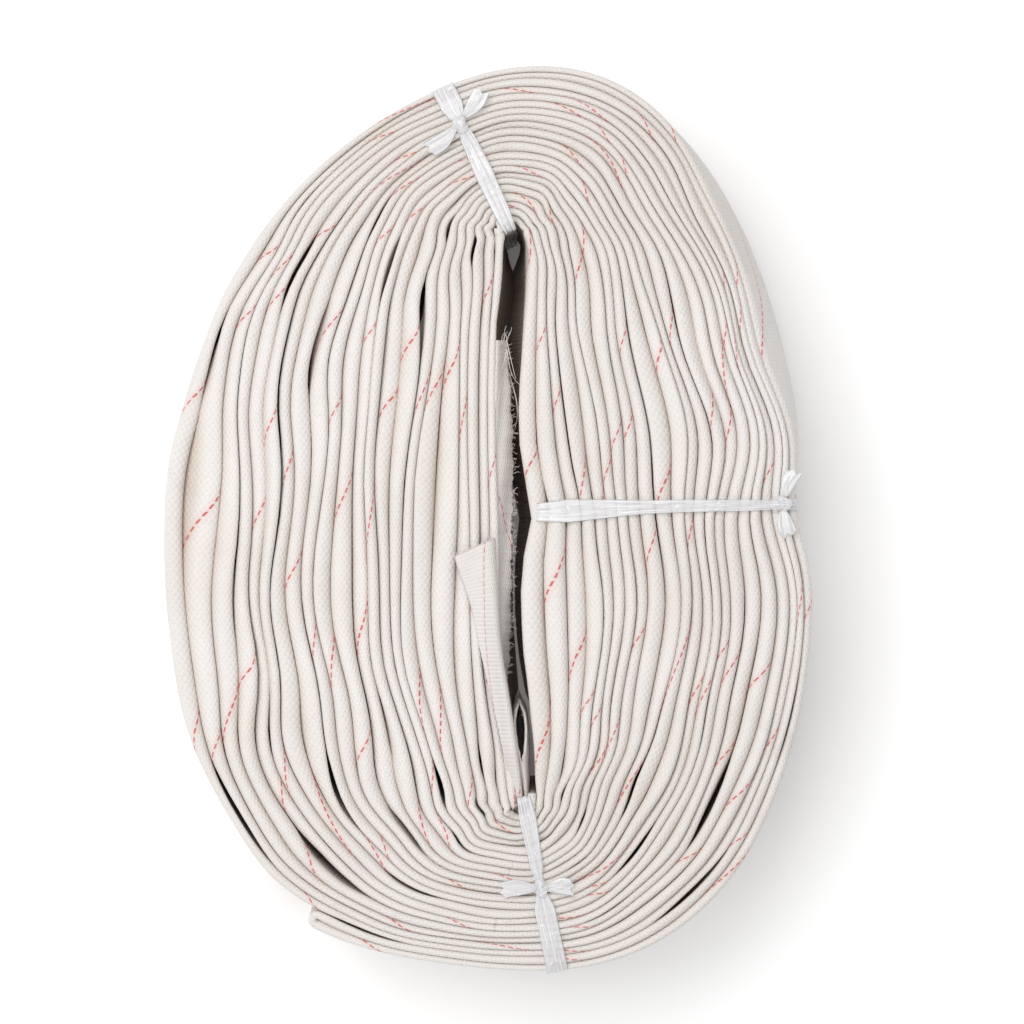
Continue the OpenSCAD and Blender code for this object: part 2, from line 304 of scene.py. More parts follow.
def bight(a, b):
    """Rings of a round loop from strand a's last ring to strand b's, worked out at each level by itself."""
    ends, other = a["middle"][-1], b["middle"][-1]
    ahead = a["middle"][-1] - a["middle"][-2]
    ahead /= np.linalg.norm(ahead, axis=-1, keepdims=True)
    side = np.stack([ahead[:, 1], -ahead[:, 0]], -1)
    gap = other - ends
    side *= np.sign(np.sum(gap * side, -1, keepdims=True))
    radius = np.maximum(BIGHT_RADIUS, np.abs(np.sum(gap * side, -1, keepdims=True)) / 2)
    centre = ends + side * radius + ahead * (np.maximum(0, np.sum(gap * ahead, -1, keepdims=True)) + 1)
    turn = np.radians(np.linspace(-BIGHT_TURN, BIGHT_TURN, BIGHT_STEPS))[:, None, None]
    middle = centre + side * radius * np.sin(turn) + ahead * radius * np.cos(turn)
    t = np.linspace(0, 1, BIGHT_STEPS)[:, None]
    left = np.minimum(a["out"][-1] * (1 - t) + b["in"][-1] * t, BIGHT_HALF)
    right = np.minimum(a["in"][-1] * (1 - t) + b["out"][-1] * t, BIGHT_HALF)
    z = a["z"][-1] * (1 - t) + b["z"][-1] * t
    return {"middle": middle, "left": left, "right": right, "z": z}


loop = bight(strand_a, strand_b)


def joined(key_a, key_loop, key_b):
    """Strand a outwards, the bight, and strand b inwards, as one array of rings."""
    return np.concatenate([strand_a[key_a], loop[key_loop], strand_b[key_b][::-1]])


middle, height = joined("middle", "middle", "middle"), joined("z", "z", "z")
half_left, half_right = joined("out", "left", "in"), joined("in", "right", "out")
along = np.gradient(middle, axis=0)
along /= np.linalg.norm(along, axis=-1, keepdims=True)
left = np.stack([-along[..., 1], along[..., 0]], -1)


def section_rings(middle, left, half_left, half_right, z):
    """Closed rings of points: up the left side from the lower fold, over the upper fold and down the
    right."""
    up = np.concatenate([middle + left * half_left[..., None], z[..., None]], -1)
    down = np.concatenate([middle - left * half_right[..., None], z[..., None]], -1)
    return np.concatenate([up[:, :-1], down[:, :0:-1]], axis=1)


hose_rings = section_rings(middle, left, half_left, half_right, height)
# How far other laps cover each point round the section; the jacket paints shade between the laps from it.
open_a, open_b = strand_a["covered"], strand_b["covered"][::-1]
bare = np.zeros((BIGHT_STEPS, SIDES + 1))
deep_left = np.concatenate([open_a, bare, np.ones_like(open_b)])
deep_right = np.concatenate([np.ones_like(open_a), bare, open_b])
hose_deep = np.concatenate([deep_left[:, :-1], deep_right[:, :0:-1]], axis=1)
hose_run = np.r_[0, np.cumsum(np.linalg.norm(np.diff(middle[:, SIDES // 2], axis=0), axis=1))]
HOSE_LENGTH = hose_run[-1] * MM
print("rings", hose_rings.shape, "hose in the roll, metres", round(HOSE_LENGTH, 2))

# %% [markdown]
# ## Turning rings into a mesh
# Every soft piece here is the same kind of thing, a ring of points carried along a route. One function
# makes the mesh, closes its two ends, and lays the cloth coordinates: metres along the hose, and metres
# round it.

# %% Mesh maker
ROUND_IT = 2 * FLAT_W


def tube_faces(rings, around):
    """Quads between neighbouring rings of points, all facing out, and the quads that close both ends."""
    r, k = np.meshgrid(np.arange(rings - 1), np.arange(around), indexing="ij")
    nxt = (k + 1) % around
    sides = np.stack([r * around + k, (r + 1) * around + k, (r + 1) * around + nxt, r * around + nxt], -1)
    h = around // 2
    i = np.arange(h)
    cap = np.stack([i, (i + 1), (around - i - 1) % around, (around - i) % around], -1)
    last = (rings - 1) * around
    return sides.reshape(-1, 4), cap, cap[:, ::-1] + last, k.reshape(-1)


def faces_in(points, faces):
    """Whether a closed set of quads faces inwards: the volume it encloses comes out negative."""
    p = points[faces] - points.mean(0)
    volume = np.sum(p[:, 0] * (np.cross(p[:, 1], p[:, 2]) + np.cross(p[:, 2], p[:, 3])))
    return volume < 0


def soft_piece(name, parts, material, body):
    """One mesh from a list of tubes. Each is (rings in mm, run in mm, place round the hose in mm), and for
    hose that other laps cover, how far each point is covered, from 0 to 1."""
    verts, faces, uvs, deep = [], [], [], []
    base = 0
    for rings, run, girth, *covered in parts:
        deep.append(covered[0].ravel() if covered else np.zeros(rings.shape[0] * rings.shape[1]))
        count, around = rings.shape[:2]
        sides, cap_a, cap_b, k = tube_faces(count, around)
        r = np.repeat(np.arange(count - 1), around)
        u0, u1 = run[r] * MM, run[r + 1] * MM
        v0, v1 = girth[k] * MM, girth[k + 1] * MM
        uv = [np.stack([u0, v0, u1, v0, u1, v1, u0, v1], -1).reshape(-1, 4, 2)]
        for cap, at in ((cap_a, run[0] * MM), (cap_b, run[-1] * MM)):
            uv.append(np.stack([np.full(cap.shape, at), girth[cap % around] * MM], -1))
        quads, uv = np.concatenate([sides, cap_a, cap_b]), np.concatenate(uv)
        if faces_in(rings.reshape(-1, 3), quads):
            quads, uv = quads[:, ::-1], uv[:, ::-1]
        uvs.append(uv.reshape(-1, 2))
        faces.append(quads + base)
        verts.append(rings.reshape(-1, 3) * MM)
        base += count * around
    verts, faces, uvs = np.concatenate(verts), np.concatenate(faces), np.concatenate(uvs)
    mesh = bpy.data.meshes.new(name)
    mesh.vertices.add(len(verts))
    mesh.vertices.foreach_set("co", verts.astype(np.float32).ravel())
    mesh.loops.add(faces.size)
    mesh.loops.foreach_set("vertex_index", faces.astype(np.int32).ravel())
    mesh.polygons.add(len(faces))
    mesh.polygons.foreach_set("loop_start", np.arange(0, faces.size, 4, dtype=np.int32))
    mesh.polygons.foreach_set("use_smooth", np.ones(len(faces), dtype=bool))
    # Kept on the mesh for the jacket's painted shade between the laps.
    mesh.attributes.new("covered", "FLOAT", "POINT").data.foreach_set("value", np.concatenate(deep))
    layer = mesh.uv_layers.new(name="cloth")
    layer.data.foreach_set("uv", uvs.astype(np.float32).ravel())
    mesh.update(calc_edges=True)
    mesh.validate(clean_customdata=False)
    piece = bpy.data.objects.new(name, mesh)
    bpy.context.scene.collection.objects.link(piece)
    mesh.materials.append(material)
    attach(piece, body)
    print(name, len(mesh.polygons) * 2, "triangles")
    return piece


# %% [markdown]
# ## Small helpers for materials
# Each material is a few nodes. These two functions keep the graphs short enough to read.

# %% Node helpers


def new_material(name):
    """An empty node material with its output, and the tree to add to."""
    material = bpy.data.materials.new(name)
    material.use_nodes = True
    material.node_tree.nodes.clear()
    return material, material.node_tree


def add(tree, kind, settings=None, inputs=None):
    """A node of that kind. Settings are its properties; inputs are numbers, colours or sockets to link."""
    node = tree.nodes.new(kind)
    for key, value in (settings or {}).items():
        setattr(node, key, value)
    for key, value in (inputs or {}).items():
        if isinstance(value, bpy.types.NodeSocket):
            tree.links.new(value, node.inputs[key])
        else:
            node.inputs[key].default_value = value
    return node


def calc(tree, operation, *values):
    """The result socket of one sum on sockets and numbers."""
    return add(tree, "ShaderNodeMath", {"operation": operation}, dict(enumerate(values))).outputs[0]


def spread(tree, value, low, high, to_low=0.0, to_high=1.0):
    """A smooth ramp: to_low where value is low, to_high where it is high."""
    node = add(tree, "ShaderNodeMapRange", {"interpolation_type": "SMOOTHSTEP"},
               {0: value, 1: low, 2: high, 3: to_low, 4: to_high})
    return node.outputs[0]


def blend(tree, how, amount, a, b):
    """Two colours mixed."""
    node = add(tree, "ShaderNodeMix", {"data_type": "RGBA", "blend_type": how}, {0: amount, 6: a, 7: b})
    return node.outputs[2]


def noise(tree, where, scale, detail=3.0, rough=0.5):
    """Even noise from 0 to 1 at that scale."""
    node = add(tree, "ShaderNodeTexNoise", {}, {"Vector": where, "Scale": scale, "Detail": detail,
                                               "Roughness": rough})
    return node.outputs[0]


# %% [markdown]
# ## The woven jacket
# A circular loom weaves the jacket of spun off-white yarn, plain weave, with thick weft picks round the
# tube and finer ends along it. Three red tracer yarns run with the ends and wind slowly round the hose;
# each shows over one pick and hides under the next, so it reads as stitches, and its dye has bled a little.
# The weave is worked out from the cloth coordinates, so it follows every fold. Dust, handling marks and yarn
# slubs are noise. Shade in the weave's hollows and between the laps is painted into the colour.

# %% Jacket material
PICK, END = 0.0019, 0.00125
TRACER_PITCH, TRACERS, STITCH = 0.42, 3, 0.0038


def tracer_distance(tree, along, girth):
    """Metres across the cloth to the nearest tracer yarn: it winds round evenly, with a slow wander."""
    slow = calc(tree, "MULTIPLY", calc(tree, "SINE", calc(tree, "MULTIPLY", along, 9.3)), 0.20)
    quick = calc(tree, "MULTIPLY", calc(tree, "SINE", calc(tree, "MULTIPLY", along, 23.1)), 0.10)
    wander = calc(tree, "ADD", slow, quick)
    turns = calc(tree, "MULTIPLY", along, TRACERS / TRACER_PITCH)
    lane = calc(tree, "MULTIPLY", girth, TRACERS / (ROUND_IT * MM))
    phase = calc(tree, "ADD", calc(tree, "SUBTRACT", lane, turns), wander)
    off = calc(tree, "ABSOLUTE", calc(tree, "SUBTRACT", calc(tree, "FRACT", phase), 0.5))
    return calc(tree, "MULTIPLY", off, ROUND_IT * MM / TRACERS)


def jacket_material(name, tint=(0.785, 0.755, 0.735), with_tracer=True, painted_lap_shade=True):
    """Off-white plain-woven cloth with a stitched red tracer, painted shade in the weave's hollows and, for
    the laps in the roll, painted shade between the laps.
    """
    material, tree = new_material(name)
    uv = add(tree, "ShaderNodeUVMap", {"uv_map": "cloth"}).outputs[0]
    where = add(tree, "ShaderNodeTexCoord").outputs["Object"]
    parts = add(tree, "ShaderNodeSeparateXYZ", {}, {0: uv})
    along, girth = parts.outputs[0], parts.outputs[1]
    pick = calc(tree, "SINE", calc(tree, "MULTIPLY", along, math.pi / PICK))
    end = calc(tree, "SINE", calc(tree, "MULTIPLY", girth, math.pi / END))
    weave = calc(tree, "MULTIPLY", pick, end)
    slub = noise(tree, where, 1500.0, 2.0)
    rib = calc(tree, "ABSOLUTE", pick)
    relief = calc(tree, "ADD", calc(tree, "MULTIPLY", weave, 0.45), calc(tree, "MULTIPLY", rib, 0.35))
    relief = calc(tree, "ADD", relief, calc(tree, "MULTIPLY", slub, 0.6))
    broad = noise(tree, where, 9.0, 4.0, 0.6)
    fine = noise(tree, where, 420.0, 3.0, 0.6)
    colour = blend(tree, "MIX", spread(tree, broad, 0.35, 0.7), (*tint, 1),
                   (tint[0] * 0.94, tint[1] * 0.92, tint[2] * 0.89, 1))
    # Painted shade in the weave's hollows: where the weave's relief is low, the cloth is painted darker and
    # warmer.
    colour = blend(tree, "MULTIPLY", spread(tree, weave, -0.9, 0.3, 0.22, 0.0), colour, (0.70, 0.64, 0.56, 1))
    colour = blend(tree, "MULTIPLY", spread(tree, fine, 0.52, 0.75, 0.0, 0.22), colour, (0.78, 0.73, 0.66, 1))
    grime = spread(tree, noise(tree, where, 26.0, 5.0, 0.65), 0.6, 0.78, 0.0, 0.35)
    colour = blend(tree, "MULTIPLY", grime, colour, (0.80, 0.78, 0.75, 1))
    # Painted shade between the laps, for laps in the roll: where other laps cover the cloth, it is painted a
    # little darker just below the upper fold, and darker and browner deeper down the side.
    if painted_lap_shade:
        depth = calc(tree, "ABSOLUTE", calc(tree, "SUBTRACT", girth, FLAT_W * MM))
        covered = add(tree, "ShaderNodeAttribute", {"attribute_name": "covered"}).outputs["Fac"]
        groove_shade = calc(tree, "MULTIPLY", covered, spread(tree, depth, 0.0016, 0.0085))
        colour = blend(tree, "MULTIPLY", groove_shade, colour, (0.90, 0.83, 0.77, 1))
        deep_side_shade = calc(tree, "MULTIPLY", covered, spread(tree, depth, 0.015, 0.060))
        colour = blend(tree, "MULTIPLY", deep_side_shade, colour, (0.62, 0.50, 0.41, 1))
    if with_tracer:
        far = tracer_distance(tree, along, girth)
        halo = spread(tree, far, 0.0034, 0.0004, 0.0, 0.20)
        colour = blend(tree, "MULTIPLY", halo, colour, (1.0, 0.50, 0.44, 1))
        thread = spread(tree, far, 0.00060, 0.00036)
        step = calc(tree, "FRACT", calc(tree, "DIVIDE", along, STITCH))
        stitch = calc(tree, "MULTIPLY", spread(tree, step, 0.04, 0.14), spread(tree, step, 0.74, 0.64))
        seen = calc(tree, "MULTIPLY", thread, calc(tree, "ADD", calc(tree, "MULTIPLY", stitch, 0.80), 0.06))
        colour = blend(tree, "MIX", seen, colour, (0.58, 0.070, 0.072, 1))
        relief = calc(tree, "ADD", relief, calc(tree, "MULTIPLY", seen, 0.8))
    bump = add(tree, "ShaderNodeBump", {}, {"Strength": 0.55, "Distance": 0.0005, "Height": relief})
    shader = add(tree, "ShaderNodeBsdfPrincipled", {}, {
        "Base Color": colour, "Roughness": 0.88, "Normal": bump.outputs[0], "Specular IOR Level": 0.2,
        "Sheen Weight": 0.25, "Sheen Roughness": 0.5, "Subsurface Weight": 0.0})
    add(tree, "ShaderNodeOutputMaterial", {}, {0: shader.outputs[0]})
    return material


jacket = jacket_material("jacket_weave")
end_jacket = jacket_material("jacket_weave_at_ends", painted_lap_shade=False)

# %% [markdown]
# ## The roll
# The route is cut into three pieces at the tight lower end of the oval, where the laps lie closest and the
# joints show least.

# %% The laps
CUTS = [360 * 4, 360 * 8]
# Distance round the hose at each ring point. Over a fold, points also step sideways by about this much.
FOLD_GAP, FOLD_STEP = 2, 0.9
lengths = np.hypot(np.diff(LEVELS), np.where(np.diff(LEVELS) < FOLD_GAP, FOLD_STEP, 0))
lengths = np.r_[0, np.cumsum(lengths)]
GIRTH = np.r_[lengths, lengths[-1] + (lengths[-1] - lengths[:-1])[::-1]] * FLAT_W / lengths[-1]
ring_count = len(hose_rings)


def stretch(from_angle, to_angle):
    """The two strands' rings between two angles on the way out, each as a part for soft_piece."""
    a0, a1 = np.searchsorted(strand_a["angle"], [from_angle, to_angle])
    b0, b1 = np.searchsorted(strand_b["angle"], [from_angle, to_angle])
    b0 = 0 if from_angle <= 0 else b0
    spans = [(a0, a1 + 1), (ring_count - 1 - b1, ring_count - b0)]
    if to_angle >= LAST_ANGLE:
        spans = [(a0, ring_count - b0)]
    return [(hose_rings[i:j], hose_run[i:j], GIRTH, hose_deep[i:j]) for i, j in spans]


hose_inner = soft_piece("hose_inner_laps", stretch(0, CUTS[0]), jacket, "roll")
hose_middle = soft_piece("hose_middle_laps", stretch(*CUTS), jacket, "roll")
hose_outer = soft_piece("hose_outer_laps", stretch(CUTS[1], LAST_ANGLE), jacket, "roll")
for piece, nodes in ((hose_inner, ("inner_jacket", "inner_lining")),
                     (hose_middle, ("middle_jacket", "middle_lining")),
                     (hose_outer, ("outer_jacket", "outer_lining"))):
    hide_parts(*nodes)


def run_length(from_angle, to_angle):
    """Metres of hose in a stretch."""
    return sum(part[1][-1] - part[1][0] for part in stretch(from_angle, to_angle)) * MM


for piece, span in ((hose_inner, (0, CUTS[0])), (hose_middle, CUTS), (hose_outer, (CUTS[1], LAST_ANGLE))):
    print(piece.name, round(run_length(*span), 2), "m")

# %% [markdown]
# ## The two cut ends
# Both ends of the hose lie in the slot. One stands up at its foot and is folded flat to the left over the
# laps at its tip. Its cut edge carries on up the slot's left wall, with the weft frayed out of it. The
# other end stands in the slot and gapes: it was cut on a slant, so from above it is an oval hole with a
# ragged white rim.

# %% Strips
rng = np.random.default_rng(7)
EDGE_POINTS, EDGE_THINS = 1.5, 0.93
READ_STEPS = (-8, -4, 0, 4, 8)


def strip_rings(paths, thick, ends=1.0):
    """Closed rings round centre paths [ring, point, xyz] in the x-z plane: out along one face, back along the
    other, half of thick away from the path on each side and rounded at both edges."""
    along = np.gradient(paths, axis=1)
    normal = np.stack([-along[..., 2], np.zeros_like(along[..., 0]), along[..., 0]], -1)
    normal /= np.maximum(1e-9, np.linalg.norm(normal, axis=-1, keepdims=True))
    t = np.linspace(0, 1, paths.shape[1])
    edge = np.minimum(t, 1 - t) * (paths.shape[1] - 1)
    half = thick / 2 * (1 - ends * np.clip(1 - edge / EDGE_POINTS, 0, 1) ** 2 * EDGE_THINS)
    up, down = paths + normal * half[:, None], paths - normal * half[:, None]
    return np.concatenate([up[:, :-1], down[:, :0:-1]], axis=1)


def girth_of(points, width):
    """Distance round a strip of that width at each of its ring points, both faces."""
    return np.linspace(0, 2 * width, 2 * (points - 1) + 1)


def run_of(rings):
    """Distance along a strip, ring by ring."""
    return np.r_[0, np.cumsum(np.linalg.norm(np.diff(rings.mean(1), axis=0), axis=1))]


def smooth_read(y, table_y, table_x):
    """A curve through a short table of measured places, rounded off between them."""
    near = [np.interp(y + step, table_y, table_x) for step in READ_STEPS]
    return sum(near) / len(near)


# %% [markdown]
# ## The end that is folded over
# The last length of hose stands up at its foot, then falls flat to the left, so it covers the top of the
# slot like a narrow leaf that widens towards its cut tip. It is a strip carried from the foot to the tip:
# each ring climbs the slot's wall, bends over and runs out to the left edge. Short tables give where its
# two edges lie.

# %% The folded end
FLAP_RINGS, FLAP_POINTS = 90, 30
FLAP_FOOT, FLAP_LONG, FLAP_THICK = -133, 124.6, 2.6
FLAP_LEG, FLAP_ROOT_Z, FLAP_FOOT_Z, FLAP_RISE = 0.45, 10, 101.0, 7.6
FLAP_RUN = 120
FLAP_Y = [-137, -125, -109, -87, -58, -36, -8]
FLAP_RIGHT = [14.2, 13.8, 11.6, 8.4, 3.6, 2.4, 0.8]
FLAP_LEFT = [12.4, 9.6, 6.2, 1.6, -5.4, -10.0, -17.4]
FLAP_TILT = 8.5
flap_t = np.linspace(0, 1, FLAP_RINGS)[:, None]
flap_q = np.linspace(0, 1, FLAP_POINTS)[None, :]
flap_y = FLAP_FOOT + flap_t * FLAP_LONG + 0 * flap_q
right = smooth_read(flap_y, FLAP_Y, FLAP_RIGHT)
left_edge = smooth_read(flap_y, FLAP_Y, FLAP_LEFT)
leg = np.clip(1 - flap_q / FLAP_LEG, 0, 1)
over = np.clip((flap_q - FLAP_LEG) / (1 - FLAP_LEG), 0, 1)
top_z = FLAP_FOOT_Z + FLAP_RISE * np.clip(flap_t * 5, 0, 1) ** 0.7 + 1.2 * bell(flap_t, 0.85, 0.2)
bend = np.sin(np.clip(over * 6, 0, 1) * math.pi / 2)
flap_x = right + (left_edge - right) * over ** 1.05
flap_z = FLAP_ROOT_Z + (top_z - FLAP_ROOT_Z) * (1 - leg) ** 0.9
flap_z = flap_z - 2.2 * (1 - bend) - 1.4 * over ** 3
flap_z = flap_z + 0.5 * np.sin(over * 5 + flap_t * 9) * over - 3.5 * (1 - flap_t) ** 6 * over
slant = FLAP_TILT * over * np.clip((flap_t - 0.75) / 0.25, 0, 1)
flap_paths = np.stack([flap_x, flap_y - slant, flap_z], -1)
flap_rings = strip_rings(flap_paths, FLAP_THICK)
flap_part = (flap_rings, run_of(flap_rings) + FLAP_RUN, girth_of(FLAP_POINTS, FLAT_W))
flap = soft_piece("folded_end_flap", [flap_part], end_jacket, "folded_end")
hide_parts("inner_end")

# %% [markdown]
# ## The frayed edge
# Beyond the fold the cut edge of the jacket shows as a ragged band on the slot's left wall. It is a single
# wall of cloth, thinner than the hose, that slopes down into the slot. Sine waves of several lengths make
# its edge ragged in a fixed way, and the yarn ends come later.

# %% The frayed edge on the slot's left wall
PANEL_RINGS, PANEL_POINTS = 260, 14
PANEL_TOP, PANEL_LONG, PANEL_THICK, PANEL_WIDE = 84, 164, 1.5, 24.0
PANEL_Z, PANEL_SLOPE, PANEL_SINK = 104.0, 11, 9
PANEL_RUN, TURN = 40, 6.28
JAGS, JAG_BY = ((9, 0, 0.5), (23, 1, 0.4), (61, 2, 0.3), (97, 4, 0.2)), 0.6
PANEL_Y = [-80, -60, -20, 20, 40, 60, 84]
PANEL_RIGHT = [7.6, 9.2, 10.2, 10.8, 10.6, 9.4, 7.4]
panel_t = np.linspace(0, 1, PANEL_RINGS)[:, None]
panel_q = np.linspace(0, 1, PANEL_POINTS)[None, :]
panel_y = PANEL_TOP - panel_t * PANEL_LONG
jag = sum(np.sin(panel_t * often * TURN + phase) * high for often, phase, high in JAGS)
panel_right = np.interp(panel_y, PANEL_Y, PANEL_RIGHT) + jag * JAG_BY
panel_left = np.interp(panel_y, [-80, -10, 84], [2.0, 0.2, 2.4])
panel_x = panel_left + (panel_right - panel_left) * panel_q
panel_z = PANEL_Z - PANEL_SLOPE * panel_q ** 1.1 - PANEL_SINK * np.clip((panel_t - 0.5) * 2, 0, 1) ** 2
panel_z = panel_z + 0.8 * np.sin(panel_q * 7 + panel_t * 12)
panel_paths = np.stack([panel_x, panel_y + 0 * panel_q, panel_z], -1)
panel_rings = strip_rings(panel_paths, PANEL_THICK, 0.5)
panel_part = (panel_rings, run_of(panel_rings) + PANEL_RUN, girth_of(PANEL_POINTS, PANEL_WIDE))
panel = soft_piece("frayed_edge", [panel_part], end_jacket, "folded_end")
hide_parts("frayed_end")

# %% [markdown]
# ## The open end
# The other end stands on its lower fold and gapes. It is one closed shell: up the outside of the hose to
# the slanted rim, over the rim, and back down the inside to near the root, so the opening is a real hole.
# Its upper fold has most of the points, since the slanted rim runs across it.

# %% The open end
OPEN_RINGS, OPEN_FOOT_Z, OPEN_TALL = 26, 8, 95.5
MOUTH_ROOT, MOUTH_WALL = -131, 1.2
MOUTH_Y, MOUTH_X = [-132, -122, -112, -85], [17.0, 16.2, 14.6, 13.6]
SLANT_FROM, SLANT_OVER = 95, 8.5
open_s = np.linspace(0, 1, OPEN_RINGS)[:, None]
open_levels = np.array([0, 0.01, 0.04, 0.2, 0.4, 0.6, 0.8, 0.88, 0.905, 0.92, 0.935, 0.95, 0.965, 0.978,
                        0.988, 0.996, 1.0])
open_k = np.r_[open_levels, open_levels[-2:0:-1]][None, :]
open_side = np.r_[np.ones(17), -np.ones(15)][None, :]
open_z = OPEN_FOOT_Z + OPEN_TALL * open_k
mouth_low, mouth_high = -87.0, -113.0
ragged = 0.9 * np.sin(open_k * 290 + open_side * 2) + 0.5 * np.sin(open_k * 613 + open_side)
slanted = np.clip((open_z - SLANT_FROM) / SLANT_OVER, 0, 1) ** 1.1
end_y = mouth_low + (mouth_high - mouth_low) * slanted + ragged
swell = np.sqrt(np.clip(1 - (2 * open_k - 1) ** 8, 0, 1))


def mouth_shell(inset, s):
    """Rings from the root (s is 0) to the slanted rim (s is 1), each inset from the outside of the hose."""
    y = MOUTH_ROOT + (end_y - MOUTH_ROOT) * s
    half = (1.4 + 2.9 * np.clip((y + 128) / 18, 0, 1)) * swell
    half = half * np.sqrt(np.clip(1 - (np.maximum(0, y + 101) / 14.6) ** 2, 0.03, 1))
    x = np.interp(y, MOUTH_Y, MOUTH_X) + open_side * np.maximum(0.12, half - inset)
    z = open_z + np.where(open_k > 0.5, -inset, inset) * 0.8
    return np.stack([x, y + 0 * x, z + 0 * x], -1)


outer_shell = mouth_shell(0.0, open_s)
rim_ring = mouth_shell(MOUTH_WALL / 2, np.array([[1.025]]))
inner_shell = mouth_shell(MOUTH_WALL, np.linspace(0.99, 0.12, 20)[:, None])
mouth_rings = np.concatenate([outer_shell, rim_ring, inner_shell])
mouth_part = (mouth_rings, run_of(mouth_rings), girth_of(len(open_levels), FLAT_W))
mouth = soft_piece("open_end_mouth", [mouth_part], end_jacket, "open_end")
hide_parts("mouth_jacket", "mouth_lining")

# %% [markdown]
# ## Loose yarns
# Cutting the jacket frees short ends of yarn. They curl as they did in the weave. A handful of long ones
# has come right out of the corner of the frayed edge.

# %% Yarn ends
YARN_R, YARN_RINGS, YARN_SIDES = 0.19, 9, 4
EDGE_YARNS, LONG_YARNS, MOUTH_YARNS, FLAP_YARNS = 110, 16, 32, 34


def yarns(name, roots, heads, long, curl, body, material):
    """One mesh of thin curled tubes: from each root along its heading, bending off by a random curl."""
    n = len(roots)
    t = np.linspace(0, 1, YARN_RINGS)[None, :, None]
    long = long[:, None, None]
    side = np.cross(heads, rng.normal(size=(n, 3)))
    side /= np.linalg.norm(side, axis=1, keepdims=True)
    other = np.cross(heads, side)
    bend = curl * (side[:, None] * np.sin(t * 3.0 + rng.uniform(0, 6, (n, 1, 1))) * t
                   + other[:, None] * (1 - np.cos(t * 4.0)) * rng.uniform(-0.6, 0.6, (n, 1, 1)))
    line = roots[:, None] + heads[:, None] * long * t + bend * long
    around = np.arange(YARN_SIDES) * math.pi / 2
    ring = np.cos(around)[:, None] * side[:, None, None] + np.sin(around)[:, None] * other[:, None, None]
    tubes = line[:, :, None] + ring * YARN_R * (1 - 0.5 * t[..., None])
    run, girth = np.linspace(0, 5, YARN_RINGS), np.linspace(0, 1, YARN_SIDES + 1)
    piece = soft_piece(name, [(tube, run, girth) for tube in tubes], material, body)


def headings(count, across, along, up):
    """Random directions as unit vectors, from a range for each axis."""
    heads = np.stack([rng.uniform(*across, count), rng.uniform(*along, count), rng.uniform(*up, count)], -1)
    return heads / np.linalg.norm(heads, axis=1, keepdims=True)


yarn = jacket_material("loose_yarn", (0.84, 0.82, 0.80), False, False)
edge_points = panel_paths[rng.integers(2, 250, EDGE_YARNS), -1]
heads = headings(EDGE_YARNS, (0.3, 1), (-0.8, 0.8), (-0.3, 0.7))
reach = rng.uniform(1.0, 3.4, EDGE_YARNS)
yarns("frayed_yarn_ends", edge_points - heads * 0.4, heads, reach, 0.3, "folded_end", yarn)

n = LONG_YARNS
corner = np.stack([rng.uniform(4.5, 8.5, n), rng.uniform(78, 84, n), rng.uniform(92, 102, n)], -1)
heads = np.stack([rng.uniform(-0.1, 0.32, n), rng.uniform(-1, -0.4, n), rng.uniform(-0.05, 0.1, n)], -1)
heads[::2, 1] = rng.uniform(0.5, 1, n // 2)
heads /= np.linalg.norm(heads, axis=1, keepdims=True)
reach = np.where(np.arange(n) % 2, rng.uniform(16, 44, n), rng.uniform(4, 9, n))
yarns("long_loose_yarns", corner, heads, reach, 0.16, "folded_end", yarn)

rim = mouth_rings[OPEN_RINGS, :, :]
heads = headings(MOUTH_YARNS, (-0.7, 0.7), (0.2, 1), (0, 0.8))
reach = rng.uniform(0.8, 2.0, MOUTH_YARNS)
yarns("mouth_yarn_ends", rim - heads * 0.3, heads, reach, 0.4, "open_end", yarn)

tip_edge = flap_rings[-1]
tip_points = tip_edge[rng.integers(10, len(tip_edge) - 8, FLAP_YARNS)]
heads = headings(FLAP_YARNS, (-0.5, 0.5), (0.4, 1), (-0.3, 0.5))
reach = rng.uniform(0.8, 2.2, FLAP_YARNS)
yarns("flap_yarn_ends", tip_points - heads * 0.3, heads, reach, 0.4, "folded_end", yarn)

# %% [markdown]
# ## The film ties
# Each tie is a strip of thin clear film, passed through the slot, drawn tight round the laps and knotted.
# Pulled tight, it bridges the low places, so in the tie's own plane it is the convex outline of the hose.
# Gathered in the slot and at the knot it narrows and wrinkles along its length; in between it spreads. The
# wrinkles are what is seen: flat film is nearly clear, and a crease is white.

# %% Film material


def film_material():
    """Clear film that is whiter and less clear along its creases."""
    material, tree = new_material("tie_film")
    uv = add(tree, "ShaderNodeUVMap", {"uv_map": "cloth"}).outputs[0]
    drawn = add(tree, "ShaderNodeMapping", {}, {"Vector": uv, "Scale": (40, 900, 1)}).outputs[0]
    streak = noise(tree, drawn, 1.0, 4.0, 0.6)
    crossed = add(tree, "ShaderNodeMapping", {}, {"Vector": uv, "Scale": (260, 200, 1)}).outputs[0]
    crease = noise(tree, crossed, 1.0, 3.0, 0.5)
    white = calc(tree, "MAXIMUM", spread(tree, streak, 0.48, 0.66), spread(tree, crease, 0.58, 0.72))
    alpha = spread(tree, white, 0.0, 1.0, 0.40, 0.80)
    bump = add(tree, "ShaderNodeBump", {}, {"Strength": 0.5, "Distance": 0.0004, "Height": streak})
    shader = add(tree, "ShaderNodeBsdfPrincipled", {}, {
        "Base Color": (0.90, 0.90, 0.92, 1), "Roughness": 0.28, "IOR": 1.5, "Alpha": alpha,
        "Normal": bump.outputs[0], "Coat Weight": 0.3, "Coat Roughness": 0.12})
    add(tree, "ShaderNodeOutputMaterial", {}, {0: shader.outputs[0]})
    return material


film = film_material()

